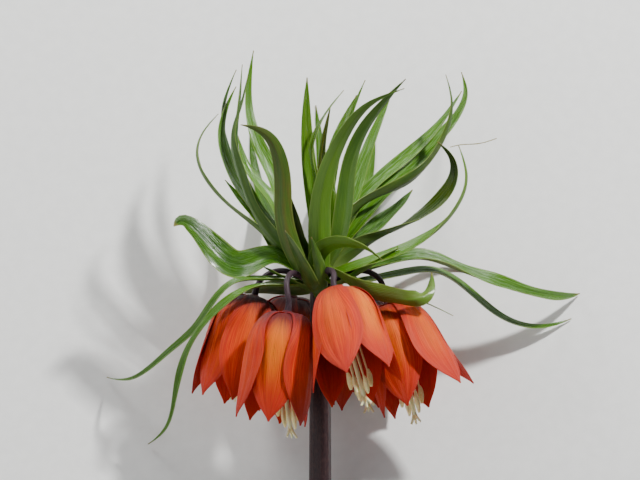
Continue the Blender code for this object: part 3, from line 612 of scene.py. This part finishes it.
def petal_points(bell, number, rows, columns, chance):
    """A petal: the bell's profile carried to both sides of its middle line and bowed back as a parabola,
    with a narrow rounded keel, folds that are sines across, and a margin that waves with the fourth power
    of the distance across. It bends sideways with the cube of the share along."""
    base, axis, _, _ = bell_axes(bell)
    outward, around = round_bell(bell, bell["turn"] + 60.0 * number)
    share = np.linspace(0.0, 1.0, rows)
    line = smooth_route(np.array([(radius, 0.0, depth) for radius, depth in PETAL_PROFILE]), rows)
    slope = unit(np.gradient(line, axis=0))
    setback = 0.0 if number % 2 == bell["outer"] % 2 else INNER_SETBACK
    sunk = setback * (0.45 + 0.55 * share)
    flare = (bell["tips"][number] - PETAL_TIP_RADIUS) * share ** 2
    radius = line[:, 0] - sunk * slope[:, 2] + flare
    depth = line[:, 2] + sunk * slope[:, 0] - PETAL_FLARE_LIFT * flare
    across = np.linspace(-1.0, 1.0, columns)[None, :]
    width = PETAL_HALF_WIDTH * petal_breadth(share)[:, None] * across
    bow = width ** 2 / (2.4 * np.maximum(radius, 4.0)[:, None])
    full = np.sin(math.pi * share)[:, None]
    keel = PETAL_KEEL * np.exp(-(across / 0.3) ** 2) * full
    start, lean, beat = chance
    folds = PETAL_FOLDS * full * np.sin(4.4 * math.pi * across + start) * (1.0 - 0.5 * across ** 2)
    beats = np.sin(2.0 * math.pi * beat * share[:, None] + lean * across)
    margin = PETAL_WAVE * np.abs(across) ** 4 * full * beats
    reach = radius[:, None] - bow + keel + folds + margin
    width = width + PETAL_SHIFT * lean * share[:, None] ** 3
    grid = base + depth[:, None, None] * axis + reach[..., None] * outward + width[..., None] * around
    thickness = PETAL_THICKNESS * (1.0 - 0.65 * across ** 4) * np.ones_like(reach)
    points, faces = closed_sheet(keep_room(grid, bell["room"], setback), thickness)
    return points, faces, sheet_marks(rows, columns)


class Finish:
    """A material's node tree, with short ways to add nodes and join them."""

    def __init__(self, name):
        self.material = bpy.data.materials.new(name)
        self.material.use_nodes = True
        self.nodes = self.material.node_tree.nodes
        self.links = self.material.node_tree.links
        self.shader = self.nodes["Principled BSDF"]

    def put(self, sockets, values):
        """Sets each socket to a number or colour, or joins it to another node's output."""
        for socket, value in zip(sockets, values):
            if isinstance(value, bpy.types.NodeSocket):
                self.links.new(value, socket)
            else:
                socket.default_value = value

    def mark(self, name):
        """The value of one of the mesh's marks."""
        node = self.nodes.new("ShaderNodeAttribute")
        node.attribute_name = name
        return node.outputs["Fac"]

    def marks(self, names):
        """The values of some marks, named in one text."""
        return [self.mark(name) for name in names.split()]

    def step(self, operation, first, second=0.0):
        """One step of arithmetic."""
        node = self.nodes.new("ShaderNodeMath")
        node.operation = operation
        self.put(node.inputs, (first, second))
        return node.outputs[0]

    def times(self, first, *others):
        """The product of some values."""
        for other in others:
            first = self.step("MULTIPLY", first, other)
        return first

    def plus(self, first, *others):
        """The sum of some values."""
        for other in others:
            first = self.step("ADD", first, other)
        return first

    def unsigned(self, value):
        """A value without its sign."""
        return self.step("ABSOLUTE", value)

    def square(self, value):
        """A value times itself."""
        return self.step("POWER", value, 2.0)

    def scale(self, value, low, high, start=0.0, end=1.0):
        """A value moved smoothly from one range to another and held inside it."""
        node = self.nodes.new("ShaderNodeMapRange")
        node.interpolation_type = "SMOOTHSTEP"
        self.put(node.inputs, (value, low, high, start, end))
        return node.outputs["Result"]

    def mix(self, share, first, second):
        """Two colours mixed by a share. The node's colours are its inputs 6 and 7 and its output 2."""
        node = self.nodes.new("ShaderNodeMix")
        node.data_type = "RGBA"
        colours = [
            value if isinstance(value, bpy.types.NodeSocket) else (*value, 1.0) for value in (first, second)]
        self.put((node.inputs[0], node.inputs[6], node.inputs[7]), (share, *colours))
        return node.outputs[2]

    def noise(self, *settings):
        """Smooth noise: the coordinates that it is read at, its scale, its detail and its roughness."""
        node = self.nodes.new("ShaderNodeTexNoise")
        self.put([node.inputs[name] for name in ("Vector", "Scale", "Detail", "Roughness")], settings)
        return node.outputs["Fac"]

    def streaks(self, along, across, seed, scale, detail):
        """Smooth noise over a surface's own two directions and its seed."""
        join = self.nodes.new("ShaderNodeCombineXYZ")
        self.put(join.inputs, (along, across, seed))
        return self.noise(join.outputs[0], scale, detail, STREAK_ROUGHNESS)

    def grain(self, scale, detail=4.0):
        """Smooth noise over the object's own coordinates."""
        return self.noise(self.nodes.new("ShaderNodeTexCoord").outputs["Object"], scale, detail, 0.5)

    def bump(self, height, distance):
        """Fine relief of the surface, in metres."""
        node = self.nodes.new("ShaderNodeBump")
        self.put((node.inputs["Distance"], node.inputs["Height"]), (distance, height))
        self.set(Normal=node.outputs["Normal"])

    def set(self, **values):
        """Sets or joins the shader's own sockets, named with underscores for spaces."""
        self.put([self.shader.inputs[name.replace("_", " ")] for name in values], values.values())


def leaf_finish(look):
    """Glossy green above and paler below, in streaks and patches, with brown on the olive leaves, parallel
    veins, a pale rim and foot, a light dry tip, and broken silvery streaks of painted highlight."""
    finish = Finish("leaf")
    mix, scale, times, plus = finish.mix, finish.scale, finish.times, finish.plus
    along, across, face, seed = finish.marks("along across face seed")
    light, olive, silver = finish.marks("light olive silver")
    streak = finish.streaks(times(along, 1.6), times(across, 5.0), seed, 2.6, 4.0)
    patch = finish.streaks(times(along, 3.0), across, seed, 1.7, 2.0)
    tone = plus(times(light, 0.75), times(patch, 0.5), times(streak, 0.6))
    above = mix(scale(tone, 0.5, 1.25), look.leaf_dark, look.leaf_light)
    below = mix(scale(tone, 0.4, 1.3), *LEAF_UNDER)
    colour = mix(scale(face, -0.4, 0.4), below, above)
    brown = mix(streak, *LEAF_OLIVE)
    colour = mix(times(olive, scale(patch, 0.3, 0.75, 0.1, 0.8)), colour, brown)
    vein = finish.unsigned(finish.step("SINE", times(across, LEAF_VEINS)))
    vein = scale(vein, 0.0, 0.35, 1.0, 0.0)
    colour = mix(times(vein, 0.25), colour, LEAF_VEIN)
    colour = mix(scale(finish.unsigned(across), 0.88, 1.0, 0.0, 0.55), colour, LEAF_RIM)
    colour = mix(scale(along, 0.12, 0.0, 0.0, 0.6), colour, LEAF_FOOT)
    colour = mix(scale(along, 0.955, 1.0, 0.0, 0.9), colour, LEAF_DRY_TIP)
    # Painted highlight: broken streaks of glare painted into the colour of the upper faces
    painted_glint = finish.streaks(times(along, 5.0), times(across, 4.0), seed, 3.0, 5.0)
    span = times(scale(along, 0.08, 0.3), scale(along, 0.9, 0.6))
    painted_glint = times(scale(painted_glint, 0.46, 0.7), silver, span, scale(face, -0.2, 0.4))
    colour = mix(times(painted_glint, 0.55), colour, LEAF_GLARE_PAINT)
    rough = plus(scale(face, -0.3, 0.3, 0.45, 0.2), times(streak, 0.14))
    finish.set(Base_Color=colour, Roughness=rough, Specular_IOR_Level=0.4)
    finish.set(Coat_Weight=0.1, Coat_Roughness=0.16)
    finish.set(Subsurface_Weight=0.18, Subsurface_Scale=0.001, Subsurface_Radius=(0.6, 1.0, 0.25))
    finish.bump(plus(times(vein, -0.5), times(streak, 0.8)), 0.0003)
    return finish.material


def petal_finish(look):
    """Orange-red outside with fine darker veins, a yellow glow down the middle and a near-black shoulder,
    partly the petals' own purple and partly painted shade, and dark red inside, with a pale drop of nectar
    in a dark rim at the foot."""
    finish = Finish("petal")
    mix, scale, times, plus = finish.mix, finish.scale, finish.times, finish.plus
    along, across, face, seed, yellow, dusky = finish.marks("along across face seed yellow dusky")
    spread = finish.step("DIVIDE", across, scale(along, 0.0, 0.5, 0.45, 1.0))
    fine = finish.streaks(times(along, 0.9), times(spread, 9.0), seed, 3.2, 4.0)
    broad = finish.streaks(times(along, 1.3), times(spread, 2.0), seed, 1.8, 2.0)
    outside = mix(scale(fine, 0.4, 0.62), look.petal_red, look.petal_salmon)
    centre = scale(finish.unsigned(across), 0.05, 0.75, 1.0, 0.0)
    rise = times(scale(along, 0.08, 0.28), scale(along, 0.85, 0.45))
    glow = times(centre, rise, yellow, scale(broad, 0.25, 0.6, 0.5, 1.0))
    outside = mix(glow, outside, look.petal_yellow)
    line = finish.step("SINE", plus(times(spread, PETAL_VEINS), times(fine, 5.0)))
    line = scale(finish.unsigned(line), 0.0, 0.42, 1.0, 0.0)
    veins = times(line, scale(fine, 0.35, 0.6, 0.25, 1.0))
    outside = mix(times(veins, 0.62), outside, PETAL_VEIN)
    outside = mix(scale(along, 0.62, 1.0, 0.0, 0.75), outside, PETAL_TIP)
    # The shoulder darkens towards near-black: partly its own purple, partly painted shade on the bells' tops
    shoulder = plus(along, times(finish.step("SUBTRACT", fine, 0.5), 0.25))
    outside = mix(times(scale(shoulder, 0.36, 0.14, 0.0, 0.95), dusky), outside, PETAL_SHOULDER)
    outside = mix(times(veins, scale(along, 0.65, 0.1, 0.0, 0.8)), outside, PETAL_SHOULDER_VEIN)
    outside = mix(scale(finish.unsigned(across), 0.7, 1.0, 0.0, 0.5), outside, PETAL_EDGE)
    inside = mix(scale(along, 0.3, 1.0), *INSIDE)
    inside = mix(times(veins, 0.6), inside, INSIDE_VEIN)
    lift = times(finish.step("SUBTRACT", along, 0.075), 22.0)
    drop = finish.step("SQRT", plus(finish.square(times(across, 2.3)), finish.square(lift)))
    inside = mix(scale(drop, 1.5, 1.05), inside, NECTAR_RIM)
    inside = mix(scale(drop, 0.85, 0.65), inside, NECTAR)
    colour = mix(scale(face, -0.3, 0.3), inside, outside)
    finish.set(Base_Color=colour, Roughness=0.52, Specular_IOR_Level=0.16)
    finish.set(Subsurface_Weight=0.35, Subsurface_Scale=0.0015, Subsurface_Radius=(1.0, 0.16, 0.05))
    finish.set(Sheen_Weight=0.03, Sheen_Roughness=0.4, Sheen_Tint=(0.75, 0.55, 0.85, 1.0))
    relief = finish.step("SUBTRACT", fine, times(veins, 0.5))
    finish.bump(plus(relief, times(finish.grain(900.0, 2.0), 0.1)), 0.00022)
    return finish.material


def stem_finish(look):
    """Near-black purple-brown skin with fine ridges, more purple on the stalks, green at the cut."""
    finish = Finish("stem")
    mix, scale = finish.mix, finish.scale
    along, around, stalk, cut = finish.marks("along around stalk cut")
    streak = finish.streaks(finish.times(along, 5.0), finish.times(around, 3.0), stalk, 2.5, 4.0)
    skin = mix(scale(streak, 0.3, 0.75), STEM_DARK, look.stem_brown)
    purple = mix(scale(streak, 0.25, 0.8), *STALK)
    colour = mix(cut, mix(stalk, skin, purple), mix(finish.grain(1400.0), *CUT))
    finish.set(Base_Color=colour, Roughness=scale(streak, 0.3, 0.8, 0.38, 0.6), Specular_IOR_Level=0.3)
    finish.set(Sheen_Weight=0.06, Sheen_Roughness=0.5, Sheen_Tint=(0.7, 0.6, 0.8, 1.0))
    finish.bump(streak, 0.00025)
    return finish.material


def stamen_finish(look):
    """Filaments that warm towards their foot, pale cream anthers with a dusty grain, a greenish style."""
    finish = Finish("stamen")
    mix, scale = finish.mix, finish.scale
    along, kind = finish.marks("along kind")
    dust = finish.grain(1500.0)
    filament = mix(scale(along, 0.0, 0.8), *FILAMENT)
    anther = mix(scale(dust, 0.35, 0.7), ANTHER_DULL, look.anther_cream)
    style = mix(scale(along, 0.2, 0.9), *STYLE)
    colour = mix(scale(kind, 1.4, 1.6), mix(scale(kind, 0.4, 0.6), filament, anther), style)
    finish.set(Base_Color=colour, Roughness=0.6, Subsurface_Weight=0.3, Subsurface_Scale=0.001)
    finish.bump(dust, 0.00012)
    return finish.material


def floor_finish(look):
    """A plain pale matt surface with the faintest grain."""
    finish = Finish("floor")
    shade = finish.scale(finish.grain(180.0), 0.3, 0.7)
    darker = [0.96 * value for value in look.floor_pale]
    finish.set(Base_Color=finish.mix(shade, darker, look.floor_pale), Roughness=0.75)
    return finish.material


def colour_setting(name, description, default):
    """A colour of FlowerLook, as linear red, green and blue."""
    return FloatVectorProperty(
        name=name, description=description, subtype="COLOR", size=3, default=default, min=0.0, max=1.0)


def power_setting(name, description, default):
    """The power of one of FlowerLook's lamps, in watts."""
    return FloatProperty(name=name, description=description, default=default, min=0.0, unit="POWER")


class FlowerLook(bpy.types.PropertyGroup):
    """Colours, fineness and light of the flower that a user would change."""

    leaf_dark: colour_setting("Leaf dark", "Deep green of the leaves", (0.011, 0.052, 0.001))
    leaf_light: colour_setting("Leaf light", "Bright green of the leaves", (0.085, 0.23, 0.002))
    petal_red: colour_setting("Petal red", "Orange-red of the petals' outside", (0.50, 0.020, 0.002))
    petal_salmon: colour_setting("Petal salmon", "Paler orange of the petals' outside", (0.66, 0.062, 0.005))
    petal_yellow: colour_setting("Petal glow", "Yellow-orange in the middle of a petal", (0.80, 0.17, 0.002))
    stem_brown: colour_setting("Stem", "Purple-brown of the stem", (0.055, 0.026, 0.025))
    anther_cream: colour_setting("Anthers", "Cream of the anthers", (1.0, 0.90, 0.50))
    floor_pale: colour_setting("Floor", "Colour of the surface under the flower", (0.88, 0.88, 0.85))
    leaf_step: FloatProperty(
        name="Leaf step", description="Millimetres between a leaf's rows", default=1.7, min=0.5, max=10.0)
    leaf_columns: IntProperty(
        name="Leaf columns", description="Points across a leaf", default=15, min=3, max=41)
    petal_rows: IntProperty(
        name="Petal rows", description="Points along a petal", default=46, min=7, max=120)
    petal_columns: IntProperty(
        name="Petal columns", description="Points across a petal", default=27, min=5, max=61)
    key_power: power_setting("Key light", "Strength of the main light", 27.0)
    sky_power: power_setting("Sky light", "Strength of the broad light beyond the leaves", 12.0)
    fill_power: power_setting("Fill light", "Strength of the soft light", 7.0)


class FLOWER_OT_leaves(bpy.types.Operator):
    """Builds the tuft of leaves, its short core and the dry thread of one leaf"""

    bl_idname = "flower.leaves"
    bl_label = "Leaves"

    def execute(self, context):
        look = context.scene.flower_look
        finish = leaf_finish(look)
        draw = np.random.default_rng(LEAF_CHANCE)
        for name, (direction, width, fall, twist, route, light, olive) in LEAVES.items():
            size, turns, start = [draw.uniform(*limits) for limits in (WAVE_HEIGHTS, WAVE_TURNS, (0.0, 1.0))]
            wave = (HIGH_WAVES.get(name, size), turns, start)
            gutter = OTHER_GUTTERS.get(name, LEAF_GUTTER)
            points, faces, marks = leaf_points(
                direction, width, fall, twist, route, gutter, wave, look.leaf_step, look.leaf_columns)
            marks |= {"light": light, "olive": olive, "seed": draw.uniform(0.0, 50.0)}
            marks["silver"] = PAINTED_GLARE_STRENGTH.get(name, 0.0)
            add_piece("leaf_" + name, points, faces, marks, finish, "leaf_crown")
        height, radii = np.array(TUFT_CORE).T
        fine = np.linspace(height[0], height[-1], CORE_RINGS)
        points, faces, along = closed_tube(down_the_middle(fine), np.interp(fine, height, radii))
        marks = {"along": 0.3 * along, "across": 0.0, "face": 1.0, "light": 0.5, "olive": 0.3, "seed": 3.0}
        add_piece("leaf_core", points, faces, marks, finish, "leaf_crown")
        route = smooth_route(place(DRY_THREAD), THREAD_RINGS)
        points, faces, along = closed_tube(route, np.full(THREAD_RINGS, THREAD_RADIUS), sides=6)
        marks = {"along": 1.0, "across": 0.5, "face": 1.0, "light": 1.0, "olive": 0.0, "seed": 9.0}
        add_piece("leaf_dry_thread", points, faces, marks, finish, "leaf_crown")
        return {"FINISHED"}


class FLOWER_OT_bells(bpy.types.Operator):
    """Builds the six bells, each with six petals and the small button that they grow from"""

    bl_idname = "flower.bells"
    bl_label = "Bells"

    def execute(self, context):
        look = context.scene.flower_look
        size = (look.petal_rows, look.petal_columns)
        finish = petal_finish(look)
        draw = np.random.default_rng(PETAL_CHANCE)
        for name, bell in BELLS.items():
            for number in range(6):
                chance = [draw.uniform(*limits) for limits in (FOLD_STARTS, PETAL_LEANS, MARGIN_BEATS)]
                points, faces, marks = petal_points(bell, number, *size, chance)
                marks |= {"seed": draw.uniform(0.0, 50.0), "yellow": bell["yellow"][number]}
                marks["dusky"] = bell["dusky"]
                add_piece(f"{name}_petal_{number + 1}", points, faces, marks, finish, name)
            base, axis, ahead, _ = bell_axes(bell)
            depth = np.linspace(0.0, BASE_DEPTH, BUTTON_RINGS)
            radii = np.interp(depth, *np.array(BUTTON_PROFILE).T)
            points, faces, along = closed_tube(base + depth[:, None] * axis, radii, ahead)
            marks = {"along": 0.1 * along, "across": 0.2, "face": np.where(along < 0.6, 1.0, -1.0)}
            marks |= {"seed": 1.0, "yellow": 0.0, "dusky": 1.0}
            add_piece(name + "_base", points, faces, marks, finish, name)
        return {"FINISHED"}


class FLOWER_OT_stamens(bpy.types.Operator):
    """Builds the stamens and the three-lobed style inside each bell"""

    bl_idname = "flower.stamens"
    bl_label = "Stamens and styles"

    def execute(self, context):
        finish = stamen_finish(context.scene.flower_look)
        for name, bell in BELLS.items():
            points, faces, marks = stamen_points(bell)
            node = name.replace("bell", "stamens")
            add_piece(node + "_fine", points, faces, marks, finish, node)
        return {"FINISHED"}


def joined(shapes):
    """Several tubes as one mesh: their points one after another, with the faces' numbers moved on."""
    points, faces, along, kinds, count = [], [], [], [], 0
    for (some, fans, share), kind in shapes:
        points.append(some)
        faces += [[corner + count for corner in face] for face in fans]
        along.append(share)
        kinds.append(np.full(len(some), float(kind)))
        count += len(some)
    return np.concatenate(points), faces, {"along": np.concatenate(along), "kind": np.concatenate(kinds)}


def anther_relief(share, angle):
    """Two lobes, with a narrow groove down each side."""
    return 0.22 * np.cos(2.0 * angle) - 0.14 * np.exp(-(np.sin(angle) / 0.2) ** 2)


def style_relief(share, angle):
    """Three rounded ribs."""
    return 0.08 * np.cos(3.0 * angle)


def stem_relief(share, angle):
    """Nine low ridges that wander and seventeen finer ones that wind round."""
    wandering = 0.012 * np.sin(9.0 * angle + 1.5 * np.sin(3.0 * share))
    return wandering + 0.008 * np.sin(17.0 * angle + 4.0 * share)


def stalk_relief(share, angle):
    """Five low ridges that wind round."""
    return 0.03 * np.sin(5.0 * angle + 3.0 * share)


def stamen_points(bell):
    """Six filaments that taper and spread a little from a small disc, anthers that are fullest in the
    middle, as a power of a sine, and a style whose end parts into three curled lobes."""
    base, axis, ahead, _ = bell_axes(bell)
    start = BASE_DEPTH + SEAT_GAP
    depth, radii = np.array(DISC_PROFILE).T
    shapes = [(closed_tube(base + (start + depth)[:, None] * axis, radii, ahead), 0)]
    for number in range(6):
        outward, around = round_bell(bell, 60.0 * number + 30.0)
        long = FILAMENT_LENGTH + 2.5 * math.cos(2.3 * number)
        middle = hang_line(bell, (start + 0.5, 0.3 * long, 0.7 * long, long))
        spread = np.array(FILAMENT_PLACES) @ np.array((outward, around))
        route = smooth_route(middle + spread, FILAMENT_RINGS)
        radii = np.linspace(*FILAMENT_RADII, FILAMENT_RINGS)
        shapes.append((closed_tube(route, radii, outward, sides=10), 0))
        share = np.linspace(0.0, 1.0, ANTHER_RINGS)
        spread = FILAMENT_SPREAD + 0.35 * np.sin(math.pi * share + number)
        anther = hang_line(bell, long - 1.0 + ANTHER_LENGTH * share) + spread[:, None] * outward
        radii = ANTHER_RADIUS * np.maximum(np.sin(math.pi * (0.06 + 0.88 * share)), 0.0) ** 0.55
        shapes.append((closed_tube(anther, radii, outward, relief=anther_relief, sides=16), 1))
    depth = np.linspace(start + 0.5, PISTIL_LENGTH - 4.0, STYLE_RINGS)
    radii = np.interp(depth, *np.array(STYLE_PROFILE).T)
    shapes.append((closed_tube(hang_line(bell, depth), radii, ahead, relief=style_relief, sides=12), 2))
    depth, spread = np.array(LOBE_PLACES).T
    for number in range(3):
        outward, _ = round_bell(bell, 120.0 * number + 60.0)
        route = hang_line(bell, PISTIL_LENGTH + depth) + spread[:, None] * outward
        radii = np.linspace(*LOBE_RADII, LOBE_RINGS)
        shapes.append((closed_tube(smooth_route(route, LOBE_RINGS), radii, outward, sides=10), 2))
    return joined(shapes)


class FLOWER_OT_stem(bpy.types.Operator):
    """Builds the stem with its cut end, and the bent stalks of the bells"""

    bl_idname = "flower.stem"
    bl_label = "Stem and stalks"

    def execute(self, context):
        finish = stem_finish(context.scene.flower_look)
        length = (HEAD_HEIGHT - STEM_RADIUS_CUT * math.cos(LEAN) + CUT_PRESSED) / math.sin(LEAN)
        depth = np.linspace(0.0, length, STEM_RINGS)
        radii = np.interp(depth, *np.array((*STEM_NECK, (length, STEM_RADIUS_CUT))).T)
        route = down_the_middle(-depth)
        points, faces, along = closed_tube(route, radii, relief=stem_relief, sides=STEM_SIDES)
        around = ring_mark(STEM_RINGS, STEM_SIDES)
        cut = np.zeros(len(points))
        cut[-1] = 1.0
        marks = {"along": 6.0 * along, "around": around, "stalk": 0.0, "cut": cut}
        add_piece("stem_skin", points, faces, marks, finish, "stem")
        share = np.linspace(0.0, 1.0, STALK_RINGS)
        radii = STALK_RADIUS * (1.0 + 0.35 * np.exp(-share / 0.06) + 0.3 * np.exp(-(1.0 - share) / 0.05))
        around = ring_mark(STALK_RINGS, STALK_SIDES)
        for number, bell in enumerate(BELLS.values(), 1):
            base, axis, _, _ = bell_axes(bell)
            ends = base - np.array((4.0, 0.0))[:, None] * axis
            route = smooth_route(np.concatenate([place(bell["stalk"]), ends]), STALK_RINGS)
            points, faces, along = closed_tube(route, radii, UP, relief=stalk_relief, sides=STALK_SIDES)
            marks = {"along": along, "around": around, "stalk": 1.0, "cut": 0.0}
            add_piece(f"stalk_{number}", points, faces, marks, finish, "stem")
        return {"FINISHED"}


def aim(thing, target):
    """Turns a lamp to shine at a point."""
    thing.rotation_euler = (Vector(target) - thing.location).to_track_quat("-Z", "Y").to_euler()


class FLOWER_OT_stage(bpy.types.Operator):
    """Makes the floor, the lights and the camera"""

    bl_idname = "flower.stage"
    bl_label = "Stage"

    def execute(self, context):
        look = context.scene.flower_look
        mesh = bpy.data.meshes.new("floor")
        corners = [(FLOOR_HALF * x, FLOOR_HALF * y, 0.0) for x, y in ((-1, -1), (1, -1), (1, 1), (-1, 1))]
        mesh.from_pydata(corners, [], [(0, 1, 2, 3)])
        mesh.materials.append(floor_finish(look))
        add_object("floor", mesh)
        target = place((0.0, 0.0, VIEW_HEIGHT)) * MM
        powers = {"key": look.key_power, "sky": look.sky_power, "fill": look.fill_power}
        for name, (spot, size) in LAMPS.items():
            lamp = bpy.data.lights.new(name, "AREA")
            lamp.energy = powers[name]
            lamp.size = size
            thing = add_object(name, lamp)
            thing.location = Vector(spot)
            aim(thing, target)
        world = context.scene.world or bpy.data.worlds.new("world")
        context.scene.world = world
        world.use_nodes = True
        background = world.node_tree.nodes["Background"]
        background.inputs["Color"].default_value = SKY_COLOUR
        background.inputs["Strength"].default_value = SKY_STRENGTH
        data = bpy.data.cameras.new("camera")
        data.sensor_width = SENSOR_WIDTH
        data.lens = SENSOR_WIDTH * CAMERA_DISTANCE / (PICTURE_WIDTH * MM_PER_PIXEL)
        data.clip_end = CAMERA_REACH * MM
        camera = add_object("camera", data)
        turn = Matrix((RIGHT, UP, FRONT)).transposed().to_4x4()
        camera.matrix_world = Matrix.Translation(target + CAMERA_DISTANCE * MM * FRONT) @ turn
        context.scene.camera = camera
        return {"FINISHED"}


class FLOWER_PT_panel(bpy.types.Panel):
    """Lists the steps that build the flower, and its colours"""

    bl_idname = "FLOWER_PT_panel"
    bl_label = "Crown imperial fritillary"
    bl_space_type = "VIEW_3D"
    bl_region_type = "UI"
    bl_category = "Flower"

    def draw(self, context):
        for name in STEPS:
            self.layout.operator("flower." + name)
        for name in FlowerLook.__annotations__:
            self.layout.prop(context.scene.flower_look, name)


STEPS = ("stage", "stem", "leaves", "bells", "stamens")
CLASSES = (
    FlowerLook, FLOWER_OT_stage, FLOWER_OT_stem, FLOWER_OT_leaves, FLOWER_OT_bells, FLOWER_OT_stamens,
    FLOWER_PT_panel)


def register():
    for each in CLASSES:
        bpy.utils.register_class(each)
    bpy.types.Scene.flower_look = PointerProperty(type=FlowerLook)


def unregister():
    del bpy.types.Scene.flower_look
    for each in reversed(CLASSES):
        bpy.utils.unregister_class(each)


def main():
    """Builds everything in order."""
    register()
    bpy.ops.flower.stage()
    bpy.ops.flower.stem()
    bpy.ops.flower.leaves()
    bpy.ops.flower.bells()
    bpy.ops.flower.stamens()


if __name__ == "__main__":
    main()
